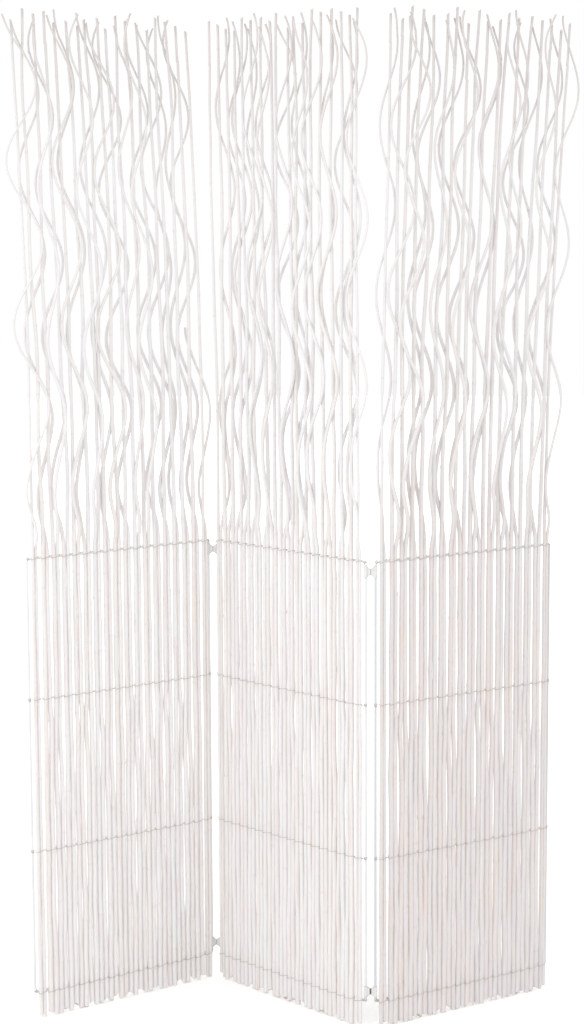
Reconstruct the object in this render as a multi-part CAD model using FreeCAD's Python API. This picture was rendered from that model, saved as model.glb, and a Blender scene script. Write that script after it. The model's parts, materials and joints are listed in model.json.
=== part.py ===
import FreeCAD, Part
import math
import os

from FreeCAD import Placement, Rotation, Vector

os.makedirs("parts", exist_ok=True)

# Folding screen of three twig panels standing in a zigzag. Millimetres, +Z up.
# Each panel is a bent rod frame behind one row of willow twigs, tied on by four
# rows of twisted wire. Above the top row the twigs stand free, half of them
# straight and half of them crimped into waves. Strip clips round the upright
# rods join the panels, so that each fold turns about two rods.
# A place in a panel is (along, depth, height): along from its left upright rod,
# depth from the plane of its rods, minus towards the front.

# Whole screen
screen_height = 1800.0
stile_spacing = 388.0        # between the axes of a panel's two upright rods
fold_spacing = 17.0          # between the axes of the two rods that a clip joins
left_panel_turn = 41.0       # degrees from the screen's line, seen from above
middle_panel_turn = -41.5
right_panel_turn = 37.5

# Heights of the four tying rows, which are the frame's rails at both ends
bottom_row_height = 47.0
lower_row_height = 310.0
upper_row_height = 588.0
top_row_height = 843.0

# Rod frame
rod_diameter = 4.5
frame_corner_radius = 6.0    # of the rod's axis

# Strip clips at the folds
clip_height = 22.0
clip_waist_height = 10.0
clip_sheet = 0.9
clip_running_clearance = 0.05
clip_corner_gap = 0.8        # between a clip and the frame's bent corner

# Tying wire
wire_thickness = 1.1
wire_clearance = 0.2
row_rise = 1.7               # a strand climbs this far each side of a plain row
wire_end_length = 1.6        # past the outermost pairs, where a row has a rail
wire_end_depth_share = 0.7   # of the strand's depth, where it ends

# Twigs, tied two and two
pairs_per_panel = 18
edge_margin = 1.5            # from the upright rod's axis to the first pair's share
pair_gap = 0.6               # between the two twigs of a pair
twig_clearance = 0.3         # between a twig and the rods behind it
thick_foot_diameter = 9.8
thin_foot_diameter = 8.6
edge_foot_diameter = 7.0     # of the outermost pairs, thin so that the folds can close
straight_tip_diameter = 4.0
wavy_tip_diameter = 3.0
longest_foot_lift = 6.0      # ragged feet end up to this far above the floor
longest_tip_drop = 30.0      # ragged tips end up to this far below the top
left_broken_tip_height = 1240.0     # two wavy twigs beside the left fold are broken off
middle_broken_tip_height = 1187.0
twig_sides = 6

# Free tops
layer_step = 7.2             # depth between one layer of twigs and the next
shift_start = 9.0            # above the top row, where a wavy twig leaves its row
shift_length = 42.0          # height in which it changes by one layer
wave_start = 24.0            # above the top row
wave_growth = 116.0          # height in which the waves reach their full width
wave_width = 21.0            # from the middle line to a crest
front_wave_length = 318.0    # at the top row, for each layer
far_front_wave_length = 305.0
back_wave_length = 330.0
far_back_wave_length = 296.0
stick_bow = 4.5              # sideways bend of a straight stick
stick_sway = 3.0             # and of its double bend
stick_steps = 8
steps_per_wave = 10

# How far the tips of each panel stand over, at its left and its right end
left_panel_leans = (-24.0, -30.0)
middle_panel_leans = (-16.0, 0.0)
right_panel_leans = (18.0, 48.0)

# The layer of each pair's wavy twig: 1 and 2 lie behind the straight sticks,
# -1 and -2 lie in front. Beside the fold that closes front to front they all
# lie behind, which leaves room for the fold.
left_panel_layers = (-1, 1, -2, 2, -1, 1, -2, 1, -1, 2, -1, -2, 2, 1, 2, 1, 2, 1)
middle_panel_layers = (2, 1, 2, 1, 2, -1, 1, -2, 2, -1, 1, -2, -1, 1, -1, 2, 1, -1)
right_panel_layers = (1, -1, -2, 1, 2, -1, 1, -2, 2, -1, 1, -2, -1, 2, 1, -2, 1, -1)

# Scatter and wave phases, as shares of a turn or of the sizes they follow
golden_share = 0.618034
lane_share = 0.3719
width_scatter_share = 0.22
left_edge_wave_share = 1.4   # of the wavy twig beside one edge of each panel
middle_edge_wave_share = 1.4
right_edge_wave_share = 0.85
length_scatter_share = 0.012
phase_scatter_share = 0.03
quickening_share = 0.36      # of a turn, which the shorter waves near the tips add
layer_phase_shares = {-2: 0.06, -1: -0.03, 1: 0.05, 2: -0.08}
left_panel_phase_shares = (0.42, 0.48)
middle_panel_phase_shares = (0.04, 0.30)
right_panel_phase_shares = (0.20, 0.48)
lean_curve = 1.7             # power of the height

# Worked out from the sizes above
rod_radius = rod_diameter / 2
wire_radius = wire_thickness / 2
wire_stand = wire_clearance + wire_radius
pair_pitch = (stile_spacing - 2 * edge_margin) / pairs_per_panel
free_height = screen_height - top_row_height
rail_rise = rod_radius + wire_stand
wave_lengths = {-2: far_front_wave_length, -1: front_wave_length,
                1: back_wave_length, 2: far_back_wave_length}

panels = {
    "left": {"turn": left_panel_turn, "leans": left_panel_leans, "layers": left_panel_layers,
             "phases": left_panel_phase_shares, "edge_pair": 0, "edge_wave": left_edge_wave_share,
             "broken_pair": pairs_per_panel - 1, "broken_tip": left_broken_tip_height, "seed": 1},
    "middle": {"turn": middle_panel_turn, "leans": middle_panel_leans, "layers": middle_panel_layers,
               "phases": middle_panel_phase_shares, "edge_pair": pairs_per_panel - 1,
               "edge_wave": middle_edge_wave_share, "broken_pair": 0,
               "broken_tip": middle_broken_tip_height, "seed": 2},
    "right": {"turn": right_panel_turn, "leans": right_panel_leans, "layers": right_panel_layers,
              "phases": right_panel_phase_shares, "edge_pair": 0, "edge_wave": right_edge_wave_share,
              "broken_pair": None, "broken_tip": None, "seed": 3},
}


def scatter(count, lane):
    # An even scatter between -1 and 1, the same in every run
    step = golden_share * count + lane_share * lane
    return 2 * (step - math.floor(step)) - 1


def eased(share):
    # 0 below 0, 1 above 1 and smooth between
    held = min(max(share, 0), 1)
    return held * held * (3 - 2 * held)


def pair_centre(pair):
    return edge_margin + pair_pitch * (pair + 0.5)


def layer_of(panel, pair):
    layers = panel["layers"]
    return layers[pair % len(layers)]


def wavy_sides(panel):
    # Which twig of each pair is the wavy one. Where two pairs in a row send theirs to
    # the same side of the sticks, both take the same one, which keeps them apart
    sides = []
    for pair in range(pairs_per_panel):
        alike = pair > 0 and layer_of(panel, pair) * layer_of(panel, pair - 1) > 0
        chosen = 1 if pair == panel["edge_pair"] or scatter(pair, panel["seed"]) > 0 else -1
        sides.append(sides[-1] if alike else chosen)
    return sides


def twig(panel, pair, side):
    # One twig's sizes. side is -1 for the left one of the pair and 1 for the right one
    number = 2 * pair + (side + 1) // 2 + 1
    seed = panel["seed"]
    wavy = side == wavy_sides(panel)[pair]
    layer = layer_of(panel, pair) if wavy else 0
    along_share = (pair + 0.5) / pairs_per_panel
    lean_left, lean_right = panel["leans"]
    phase_left, phase_right = panel["phases"]
    thickness = (scatter(number, seed + 3) + 1) / 2
    foot = thin_foot_diameter + (thick_foot_diameter - thin_foot_diameter) * thickness
    if pair in (0, pairs_per_panel - 1):
        foot = edge_foot_diameter
    length = wave_lengths.get(layer, front_wave_length)
    width = wave_width * (1 + width_scatter_share * scatter(number, seed + 11)) if wavy else 0
    if pair == panel["edge_pair"]:
        width *= panel["edge_wave"]
    drop = (scatter(number, seed + 5) + 1) / 2
    tip = screen_height - drop * longest_tip_drop
    if wavy and pair == panel["broken_pair"]:
        tip = panel["broken_tip"]
    lift = max(scatter(number, seed + 7), 0)
    return {
        "centre": pair_centre(pair),
        "side": side,
        "layer": layer,
        "lean": lean_left + (lean_right - lean_left) * along_share,
        "foot_radius": foot / 2,
        "tip_radius": (wavy_tip_diameter if wavy else straight_tip_diameter) / 2,
        "foot": lift * longest_foot_lift,
        "tip": tip,
        "width": width,
        "bow": 0 if wavy else stick_bow * scatter(number, seed + 13),
        "sway": 0 if wavy else stick_sway * scatter(number, seed + 23),
        "length": length * (1 + length_scatter_share * scatter(number, seed + 17)),
        "phase": phase_left + (phase_right - phase_left) * along_share
        + layer_phase_shares.get(layer, 0) + phase_scatter_share * scatter(number, seed + 19),
    }


def twig_radius(stem, height):
    share = height / screen_height
    return stem["foot_radius"] + (stem["tip_radius"] - stem["foot_radius"]) * share


def twig_place(stem, height):
    # Centre of the twig at a height, as (along, depth). The two twigs of a pair keep
    # together as they taper, and their backs keep to the rods behind them
    above = max(height - top_row_height, 0)
    share = above / free_height
    radius = twig_radius(stem, height)
    along = stem["centre"] + stem["side"] * (radius + pair_gap / 2)
    along += stem["lean"] * share ** lean_curve + stem["bow"] * math.sin(math.pi * share)
    along += stem["sway"] * math.sin(2 * math.pi * share)
    depth = -(rod_radius + twig_clearance + radius)
    if stem["layer"]:
        turns = above / stem["length"] + quickening_share * share ** 2 + stem["phase"]
        swing = math.sin(2 * math.pi * turns)
        along += stem["width"] * swing * eased((above - wave_start) / wave_growth)
        move = eased((above - shift_start) / (shift_length * abs(stem["layer"])))
        depth += stem["layer"] * layer_step * move
    return along, depth


def twig_heights(stem):
    # Stations where the twig's solid has a section
    heights = [stem["foot"], top_row_height]
    rise = stem["tip"] - top_row_height
    if stem["layer"]:
        heights.append(top_row_height + shift_start)
        count = math.ceil(rise / stem["length"] * steps_per_wave)
    else:
        count = stick_steps
    heights += [top_row_height + rise * step / count for step in range(1, count + 1)]
    return heights


def flat_face(corners):
    return Part.Face(Part.makePolygon(corners + corners[:1]))


def solid_from_rings(rings):
    # A closed solid of flat faces through rings of equal count
    faces = [flat_face(rings[0]), flat_face(rings[-1])]
    count = len(rings[0])
    for low, high in zip(rings, rings[1:]):
        for corner in range(count):
            after = (corner + 1) % count
            faces.append(flat_face([low[corner], low[after], high[after], high[corner]]))
    shell = Part.makeShell(faces)
    shell.sewShape()
    solid = Part.makeSolid(shell)
    if solid.Volume < 0:
        solid.reverse()
    return solid


def twig_solid(stem):
    rings = []
    for height in twig_heights(stem):
        along, depth = twig_place(stem, height)
        radius = twig_radius(stem, height)
        ring = []
        for corner in range(twig_sides):
            angle = 2 * math.pi * corner / twig_sides + math.pi / 2
            ring.append(Vector(along + radius * math.cos(angle), depth + radius * math.sin(angle), height))
        rings.append(ring)
    return solid_from_rings(rings)


def bent_bar(points, thickness):
    # A square bar along a run of points, mitred at each of them
    steps = [(after - before).normalize() for before, after in zip(points, points[1:])]
    up = Vector(0, 0, 1)
    first_side = steps[0].cross(up).normalize() * (thickness / 2)
    second_side = first_side.cross(steps[0]).normalize() * (thickness / 2)
    ring = [points[0] + first_side + second_side, points[0] - first_side + second_side,
            points[0] - first_side - second_side, points[0] + first_side - second_side]
    rings = [ring]
    for index, point in enumerate(points[1:]):
        step = steps[index]
        normal = step if index + 1 == len(steps) else (step + steps[index + 1]).normalize()
        ring = [corner + step * ((point - corner).dot(normal) / step.dot(normal)) for corner in ring]
        rings.append(ring)
    return solid_from_rings(rings)


def strand(panel, row_height, has_rail, hand):
    # One of the two wires of a row. It passes the pairs in front and behind by turns,
    # climbs across the front of each and crosses its partner in the gap after it
    rise = rail_rise if has_rail else row_rise
    points = []
    stops = list(range(pairs_per_panel))
    if not has_rail:
        stops = [-1] + stops + [pairs_per_panel]
    for stop in stops:
        front = (stop % 2 == 0) == (hand > 0)
        if 0 <= stop < pairs_per_panel:
            centre = pair_centre(stop)
            thickest = max(twig_radius(twig(panel, stop, side), row_height) for side in (-1, 1))
            half = 2 * thickest + pair_gap / 2
            if front:
                depth = -(rod_radius + twig_clearance + 2 * thickest + wire_stand)
            elif has_rail:
                depth = rod_radius + wire_stand
            else:
                depth = wire_stand - rod_radius - twig_clearance
        else:
            centre = 0 if stop < 0 else stile_spacing
            half = rod_radius + wire_stand
            depth = -(rod_radius + wire_stand) if front else rod_radius + wire_stand
        start_rise = -rise if front else rise
        points.append(Vector(centre - half, depth, row_height + start_rise))
        points.append(Vector(centre + half, depth, row_height - start_rise))
    if has_rail:
        # The ends are cut off in the gap beside the outermost pairs
        first, last = points[0], points[-1]
        start = Vector(first.x - wire_end_length, first.y * wire_end_depth_share, first.z)
        end = Vector(last.x + wire_end_length, last.y * wire_end_depth_share, last.z)
        points = [start] + points + [end]
    return bent_bar(points, wire_thickness)


def stile(along):
    low = bottom_row_height + frame_corner_radius
    high = top_row_height - frame_corner_radius
    return Part.makeCylinder(rod_radius, high - low, Vector(along, 0, low))


def rail(height, upward):
    # A rail with its two bent corners. upward is 1 at the bottom, where the corners turn up
    bend = frame_corner_radius
    low = Vector(0, 0, height + upward * bend)
    left = Vector(bend, 0, height)
    right = Vector(stile_spacing - bend, 0, height)
    end = Vector(stile_spacing, 0, height + upward * bend)
    inset = bend * (1 - math.sqrt(0.5))
    left_middle = Vector(inset, 0, height + upward * inset)
    right_middle = Vector(stile_spacing - inset, 0, height + upward * inset)
    path = Part.Wire([
        Part.Arc(low, left_middle, left).toShape(),
        Part.LineSegment(left, right).toShape(),
        Part.Arc(right, right_middle, end).toShape(),
    ])
    section = Part.Wire([Part.Circle(low, Vector(0, 0, 1), rod_radius).toShape()])
    return path.makePipeShell([section], True, False)


def clip(centre_height):
    # Two barrels joined by a waisted web, in the fold's own frame: the left rod at 0
    bore = rod_radius + clip_running_clearance
    outside = bore + clip_sheet
    low = centre_height - clip_height / 2
    high = centre_height + clip_height / 2
    half_waist = clip_waist_height / 2
    middle = fold_spacing / 2
    outline = [
        Vector(0, -clip_sheet, low), Vector(0, -clip_sheet, high),
        Vector(middle, -clip_sheet, centre_height + half_waist),
        Vector(fold_spacing, -clip_sheet, high), Vector(fold_spacing, -clip_sheet, low),
        Vector(middle, -clip_sheet, centre_height - half_waist),
    ]
    body = flat_face(outline).extrude(Vector(0, 2 * clip_sheet, 0))
    for along in (0, fold_spacing):
        body = body.fuse(Part.makeCylinder(outside, clip_height, Vector(along, 0, low)))
    for along in (0, fold_spacing):
        body = body.cut(Part.makeCylinder(bore, clip_height, Vector(along, 0, low)))
    return body.removeSplitter().Solids[0]


def panel_nodes(name, panel):
    stems = [twig(panel, pair, side) for pair in range(pairs_per_panel) for side in (-1, 1)]
    nodes = {
        f"{name}_stile_left": [stile(0)],
        f"{name}_stile_right": [stile(stile_spacing)],
        f"{name}_rail_bottom": [rail(bottom_row_height, 1)],
        f"{name}_rail_top": [rail(top_row_height, -1)],
        f"{name}_straight_twigs": [twig_solid(stem) for stem in stems if stem["layer"] == 0],
        f"{name}_wavy_twigs_front": [twig_solid(stem) for stem in stems if stem["layer"] < 0],
        f"{name}_wavy_twigs_back": [twig_solid(stem) for stem in stems if stem["layer"] > 0],
    }
    rows = ((bottom_row_height, True), (lower_row_height, False), (upper_row_height, False),
            (top_row_height, True))
    for number, (height, has_rail) in enumerate(rows, start=1):
        nodes[f"{name}_tie_row_{number}"] = [strand(panel, height, has_rail, hand) for hand in (1, -1)]
    return nodes


def turned(degrees):
    return Rotation(Vector(0, 0, 1), degrees)


def layout():
    # Where each panel's left rod and each fold's left rod stand, with the turn of each
    along = Vector(stile_spacing, 0, 0)
    step = Vector(fold_spacing, 0, 0)
    middle = turned(middle_panel_turn).multVec(along * -0.5)
    right = middle + turned(middle_panel_turn).multVec(along) + step
    left = middle - step - turned(left_panel_turn).multVec(along)
    return {
        "left": (left, left_panel_turn),
        "middle": (middle, middle_panel_turn),
        "right": (right, right_panel_turn),
        "left_fold": (middle - step, 0),
        "right_fold": (right - step, 0),
    }


def build():
    places = layout()
    nodes = {}
    for name, panel in panels.items():
        corner, turn = places[name]
        for node, solids in panel_nodes(name, panel).items():
            nodes[node] = (solids, Placement(corner, turned(turn)))
    clip_inset = frame_corner_radius + clip_corner_gap + clip_height / 2
    for fold in ("left_fold", "right_fold"):
        corner, turn = places[fold]
        nodes[f"{fold}_clip_upper"] = ([clip(top_row_height - clip_inset)], Placement(corner, turned(turn)))
        nodes[f"{fold}_clip_lower"] = ([clip(bottom_row_height + clip_inset)], Placement(corner, turned(turn)))
    for solids, place in nodes.values():
        for solid in solids:
            solid.Placement = place.multiply(solid.Placement)
    # The screen stands with the middle of its footprint on the origin
    box = Part.makeCompound([solid for solids, place in nodes.values() for solid in solids]).BoundBox
    centring = Vector(-(box.XMin + box.XMax) / 2, -(box.YMin + box.YMax) / 2, -box.ZMin)
    for node, (solids, place) in nodes.items():
        for solid in solids:
            solid.translate(centring)
        shape = solids[0] if len(solids) == 1 else Part.makeCompound(solids)
        shape.exportStep(f"parts/{node}.step")
    print("box", [round(value, 2) for value in (box.XLength, box.YLength, box.ZLength)])
    for name, (corner, turn) in places.items():
        spot = corner + centring
        print(name, "left rod at", round(spot.x, 4), round(spot.y, 4), "turned", turn)


build()
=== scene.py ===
import json
import math
import random

import bpy
from mathutils import Matrix, Vector


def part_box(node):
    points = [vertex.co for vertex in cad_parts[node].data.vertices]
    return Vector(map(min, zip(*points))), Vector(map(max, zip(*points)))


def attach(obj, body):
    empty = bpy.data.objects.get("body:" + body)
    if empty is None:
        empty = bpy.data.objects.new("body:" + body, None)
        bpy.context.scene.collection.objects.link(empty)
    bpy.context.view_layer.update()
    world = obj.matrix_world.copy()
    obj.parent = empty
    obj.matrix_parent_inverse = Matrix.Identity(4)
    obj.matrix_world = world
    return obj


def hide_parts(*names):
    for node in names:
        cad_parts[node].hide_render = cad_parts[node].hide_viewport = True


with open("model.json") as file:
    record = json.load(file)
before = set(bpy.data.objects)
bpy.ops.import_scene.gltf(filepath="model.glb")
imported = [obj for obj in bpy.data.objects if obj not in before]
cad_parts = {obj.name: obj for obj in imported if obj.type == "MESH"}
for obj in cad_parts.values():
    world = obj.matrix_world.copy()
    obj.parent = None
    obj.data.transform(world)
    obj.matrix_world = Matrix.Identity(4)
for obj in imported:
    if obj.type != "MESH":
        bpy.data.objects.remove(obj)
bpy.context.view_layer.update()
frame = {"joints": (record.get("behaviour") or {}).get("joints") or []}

fullTurn = 2 * math.pi
hinges = {joint["name"]: joint for joint in frame["joints"]}

# The screen's measures, the same as in the solids, in metres
screen = {
    "height": 1.8,
    "rodSpacing": 0.388,
    "rodRadius": 0.00225,
    "cornerRadius": 0.006,
    "rowHeights": (0.047, 0.310, 0.588, 0.843),
    "pairs": 18,
    "edgeMargin": 0.0015,
    "pairGap": 0.0006,
}
pairPitch = (screen["rodSpacing"] - 2 * screen["edgeMargin"]) / screen["pairs"]
lastPair = screen["pairs"] - 1
topRow = screen["rowHeights"][3]
freeHeight = screen["height"] - topRow

# Leans and wave phases run from a panel's left end to its right end. A layer is how far a pair's wavy twig
# stands before (minus) or behind the straight sticks. Shades say how far the wash is darkened and streaks how
# far its streaks show, below the top row and above it. The right panel's darkening is painted shade
panels = {
    "left": {
        "leans": (-0.024, -0.030), "phases": (0.42, 0.48), "edgePair": 0, "edgeWave": 1.4, "seed": 1,
        "brokenPair": 17, "brokenTip": 1.240, "shades": (0.0, 0.10), "streaks": (0.85, 0.25),
        "layers": (-1, 1, -2, 2, -1, 1, -2, 1, -1, 2, -1, -2, 2, 1, 2, 1, 2, 1),
    },
    "middle": {
        "leans": (-0.016, 0.0), "phases": (0.04, 0.30), "edgePair": 17, "edgeWave": 1.4, "seed": 2,
        "brokenPair": 0, "brokenTip": 1.187, "shades": (0.0, 0.10), "streaks": (0.85, 0.25),
        "layers": (2, 1, 2, 1, 2, -1, 1, -2, 2, -1, 1, -2, -1, 1, -1, 2, 1, -1),
    },
    "right": {
        "leans": (0.018, 0.048), "phases": (0.20, 0.48), "edgePair": 0, "edgeWave": 0.85, "seed": 3,
        "brokenPair": None, "brokenTip": None, "shades": (0.95, 0.33), "streaks": (1.4, 0.3),
        "layers": (1, -1, -2, 1, 2, -1, 1, -2, 2, -1, 1, -2, -1, 2, 1, -2, 1, -1),
    },
}


def placePanels():
    # The hinges stand on the panels' upright rods, and their first limits lay the panels out flat
    places = {
        "left": ("left_fold_outer_hinge", -1),
        "middle": ("left_fold_inner_hinge", 1),
        "right": ("right_fold_outer_hinge", -1),
    }
    for name, (hinge, way) in places.items():
        panel, rod = panels[name], Vector(hinges[hinge]["pos_m"])
        turn = math.radians(way * hinges[hinge]["range_deg"][0])
        panel["across"] = Vector((math.cos(turn), math.sin(turn), 0))
        panel["back"] = Vector((-math.sin(turn), math.cos(turn), 0))
        panel["corner"] = Vector((rod.x, rod.y, 0))
        if name == "left":
            panel["corner"] -= panel["across"] * screen["rodSpacing"]


def toWorld(panel, spot):
    # From (along, depth, height) in a panel to the screen's own frame
    return panel["corner"] + panel["across"] * spot[0] + panel["back"] * spot[1] + Vector((0, 0, spot[2]))


# The solids' own scatter: each measure of a twig reads its own lane
scatterSteps = {"count": 0.618034, "lane": 0.3719}
lanes = {
    "thickness": 3, "tip": 5, "foot": 7, "width": 11, "bow": 13, "length": 17, "phase": 19, "sway": 23,
    "pairDrift": 31, "ownDrift": 37,
}


def scatter(count, lane):
    step = scatterSteps["count"] * count + scatterSteps["lane"] * lane
    return 2 * (step - math.floor(step)) - 1


def eased(share):
    held = min(max(share, 0), 1)
    return held * held * (3 - 2 * held)


def rise(value, ends):
    # Eased from 0 to 1 over a stretch given by its start and its length
    return eased((value - ends[0]) / ends[1])


def blend(ends, share):
    return ends[0] + (ends[1] - ends[0]) * share


# Willow twigs
twigLook = {
    "clearance": 0.0003, "leastGap": 0.00012,
    "footRadii": (0.0043, 0.0049), "edgeFoot": 0.0035, "straightTip": 0.0020, "wavyTip": 0.0015,
    "longestLift": 0.006, "longestDrop": 0.030,
    "layerStep": 0.0072,
    "shift": (0.009, 0.042),  # a wave moves out of the sticks' way here above the top row
    "waveGrowth": (0.024, 0.116),  # and grows to its full width here
    "waveWidth": 0.021, "widthScatter": 0.22,
    "waveLengths": {-2: 0.305, -1: 0.318, 1: 0.330, 2: 0.296}, "lengthScatter": 0.012,
    "layerPhases": {-2: 0.06, -1: -0.03, 1: 0.05, 2: -0.08}, "phaseScatter": 0.03,
    "quickening": 0.36, "stickBow": 0.0045, "stickSway": 0.003, "leanCurve": 1.7,
    "fullness": (0.09, 0.14, 0.12),  # thicker than the even taper by this: feet, top row, tips
    "edgeFullness": 0.4,  # share of it that the outermost pairs have
    "drifts": (0.0030, 0.0034, 0.0028, 0.0017),  # sideways wander between two rows, from the feet up
    "driftLengths": (0.44, 0.21), "driftWeights": (0.62, 0.38),
    "pairShare": 0.45,  # of the wander, the part that a pair shares
    "edgeDrift": 0.25, "edgePairs": 1.5,  # its share at the edges, and the pairs over which it grows
    "rowReach": 0.05,  # there is no wander so near to a wire row
    "stray": (0.0035, 0.0068),  # how far a free top strays from its run, straight and wavy
    "strayShares": (-0.6, 0.6), "strayLengths": (0.31, 0.56),
    "strayRise": (0.03, 0.14),  # above the top row
    "edgeStray": 0.3,  # share of it that the outermost pairs have
    "slowWave": 0.4, "slowReach": 0.30,  # the first bends are flatter
    "tipHook": 0.006, "hookShares": (-0.5, 1), "hookRise": (-0.05, 0.05),
    "knotStep": (0.055, 0.125),  # from one bud knot to the next
    "knotMargin": 0.02,  # from a twig's end to its nearest knot
    "knotSizes": (0.3, 1.0), "knotSwell": 0.06, "knotReach": 0.003,
    "budHeight": 0.00045,
    "faintBud": 0.01,  # share of a knot under which no bud shows
    "kink": 0.0005, "kinkDepth": 0.6,  # bend at a knot, and the share of it to the front or back
    "radiusWander": 0.04, "wanderStarts": (0, 10), "wanderWaves": ((23, 1), (9, 2)),
    "cutSlopes": (0.1, 0.9), "cutReach": 0.007, "cutGap": 0.0004,  # nearby rings keep clear of the cut
    "sides": 10, "ringStep": 0.011, "leastRing": 0.0009,
    "knotRings": (-0.0045, -0.0018, 0.0, 0.0018, 0.0045),
    "tangentStep": 0.003, "seedStep": 7,
}


def wavySides(panel):
    sides = []
    layers = panel["layers"]
    for pair in range(screen["pairs"]):
        alike = pair > 0 and layers[pair] * layers[pair - 1] > 0
        chosen = 1 if pair == panel["edgePair"] or scatter(pair, panel["seed"]) > 0 else -1
        sides.append(sides[-1] if alike else chosen)
    return sides


def isOutermost(pair):
    return pair in (0, lastPair)


def describeTwig(panel, pair, side, wavySide):
    # The same sizes and scatter as the solids
    look = twigLook
    number = 2 * pair + (side + 1) // 2 + 1
    layer = panel["layers"][pair] if side == wavySide else 0
    share = (pair + 0.5) / screen["pairs"]

    def scattered(measure):
        return scatter(number, panel["seed"] + lanes[measure])

    foot = look["edgeFoot"]
    if not isOutermost(pair):
        foot = blend(look["footRadii"], (scattered("thickness") + 1) / 2)
    width = look["waveWidth"] * (1 + look["widthScatter"] * scattered("width"))
    if pair == panel["edgePair"]:
        width *= panel["edgeWave"]
    tip = screen["height"] - (scattered("tip") + 1) / 2 * look["longestDrop"]
    if layer and pair == panel["brokenPair"]:
        tip = panel["brokenTip"]
    twig = {
        "number": number, "pair": pair, "side": side, "layer": layer, "tip": tip,
        "centre": screen["edgeMargin"] + pairPitch * (pair + 0.5),
        "lean": blend(panel["leans"], share),
        "foot": max(scattered("foot"), 0) * look["longestLift"],
        "footRadius": foot, "tipRadius": look["wavyTip"] if layer else look["straightTip"],
    }
    if layer:
        twig["width"] = width
        twig["length"] = look["waveLengths"][layer] * (1 + look["lengthScatter"] * scattered("length"))
        phase = blend(panel["phases"], share) + look["layerPhases"][layer]
        twig["phase"] = phase + look["phaseScatter"] * scattered("phase")
    else:
        twig["bow"] = look["stickBow"] * scattered("bow")
        twig["sway"] = look["stickSway"] * scattered("sway")
    return twig


def barkRadius(twig, height):
    atFoot, atRow, atTip = twigLook["fullness"]
    fuller = atFoot + (atRow - atFoot) * eased(height / topRow)
    fuller += (atTip - atRow) * eased((height - topRow) / freeHeight)
    if isOutermost(twig["pair"]):
        fuller *= twigLook["edgeFullness"]
    taper = (twig["tipRadius"] - twig["footRadius"]) * height / screen["height"]
    return (twig["footRadius"] + taper) * (1 + fuller)


def twigPlace(twig, height):
    # The middle of an even twig, along the panel and in depth
    look = twigLook
    above = max(height - topRow, 0)
    share = above / freeHeight
    radius = barkRadius(twig, height)
    along = twig["centre"] + twig["side"] * (radius + screen["pairGap"] / 2)
    along += twig["lean"] * share ** look["leanCurve"]
    depth = -(screen["rodRadius"] + look["clearance"] + radius)
    if twig["layer"]:
        turns = above / twig["length"] + look["quickening"] * share ** 2 + twig["phase"]
        along += twig["width"] * math.sin(fullTurn * turns) * rise(above, look["waveGrowth"])
        start, length = look["shift"]
        depth += twig["layer"] * look["layerStep"] * rise(above, (start, length * abs(twig["layer"])))
    else:
        along += twig["bow"] * math.sin(math.pi * share) + twig["sway"] * math.sin(fullTurn * share)
    return along, depth


def rowFade(height):
    # 0 where a wire row holds the twig and 1 well away from the rows
    nearest = min(abs(height - row) for row in screen["rowHeights"])
    return eased(nearest / twigLook["rowReach"])


def driftWish(panel, twig, height):
    # Where the twig would wander if its neighbours let it, between -1 and 1
    look = twigLook
    wish = 0
    for lane, share, own in (("pairDrift", look["pairShare"], twig["pair"]),
                             ("ownDrift", 1 - look["pairShare"], twig["number"])):
        for step, (length, weight) in enumerate(zip(look["driftLengths"], look["driftWeights"])):
            phase = scatter(own, panel["seed"] + lanes[lane] + 2 * step)
            wish += share * weight * math.sin(fullTurn * height / length + math.pi * phase)
    return wish


def driftSpots(panel, stems, height):
    # The twigs' radii and places at a height, pushed apart where they meet
    look = twigLook
    row = sum(1 for level in screen["rowHeights"] if level <= height)
    drift = look["drifts"][row] * rowFade(height) if row < len(look["drifts"]) else 0
    radii = [barkRadius(stem, height) for stem in stems]
    gap = look["leastGap"]
    wishes = []
    for stem in stems:
        inward = min(stem["pair"], lastPair - stem["pair"])
        edge = eased(inward / look["edgePairs"] + look["edgeDrift"])
        wishes.append(twigPlace(stem, height)[0] + drift * edge * driftWish(panel, stem, height))
    forward, backward = list(wishes), list(wishes)
    for right in range(1, len(stems)):
        forward[right] = max(forward[right], forward[right - 1] + (radii[right - 1] + radii[right] + gap))
    for left in range(len(stems) - 2, -1, -1):
        backward[left] = min(backward[left], backward[left + 1] - (radii[left] + radii[left + 1] + gap))
    return radii, [(ahead + behind) / 2 for ahead, behind in zip(forward, backward)]


def plotDrifts(panel, stems):
    # Each twig's drift and its gaps to its neighbours, from the floor to the top row
    count = math.ceil(topRow / twigLook["ringStep"])
    plots = {stem["number"]: {"drift": [], "leftGap": [], "rightGap": []} for stem in stems}
    for step in range(count + 1):
        level = topRow * step / count
        radii, places = driftSpots(panel, stems, level)
        for index, stem in enumerate(stems):
            plot = plots[stem["number"]]
            plot["drift"].append(places[index] - twigPlace(stem, level)[0])
            for key, other in (("leftGap", index - 1), ("rightGap", index + 1)):
                gap = 1.0  # nothing beside the outermost twigs
                if 0 <= other < len(stems):
                    gap = abs(places[other] - places[index]) - radii[index] - radii[other]
                plot[key].append(gap)
    return plots


def readPlot(values, height):
    place = min(max(height / topRow, 0), 1) * (len(values) - 1)
    index = min(int(place), len(values) - 2)
    share = place - index
    return values[index] * (1 - share) + values[index + 1] * share


def growKnots(twig, draw):
    # Heights of the bud knots, with the small bend and the bud's direction at each
    look = twigLook
    low, high = look["knotStep"]
    knots = []
    height = twig["foot"] + draw.uniform(look["knotMargin"], high)
    while height < twig["tip"] - look["knotMargin"]:
        kink = look["kink"] * (1 + height / screen["height"])
        knots.append({"height": height, "bend": (draw.uniform(-kink, kink), draw.uniform(-kink, kink)),
                      "bud": draw.uniform(0, fullTurn), "size": draw.uniform(*look["knotSizes"])})
        height += draw.uniform(low, high)
    return knots


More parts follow.
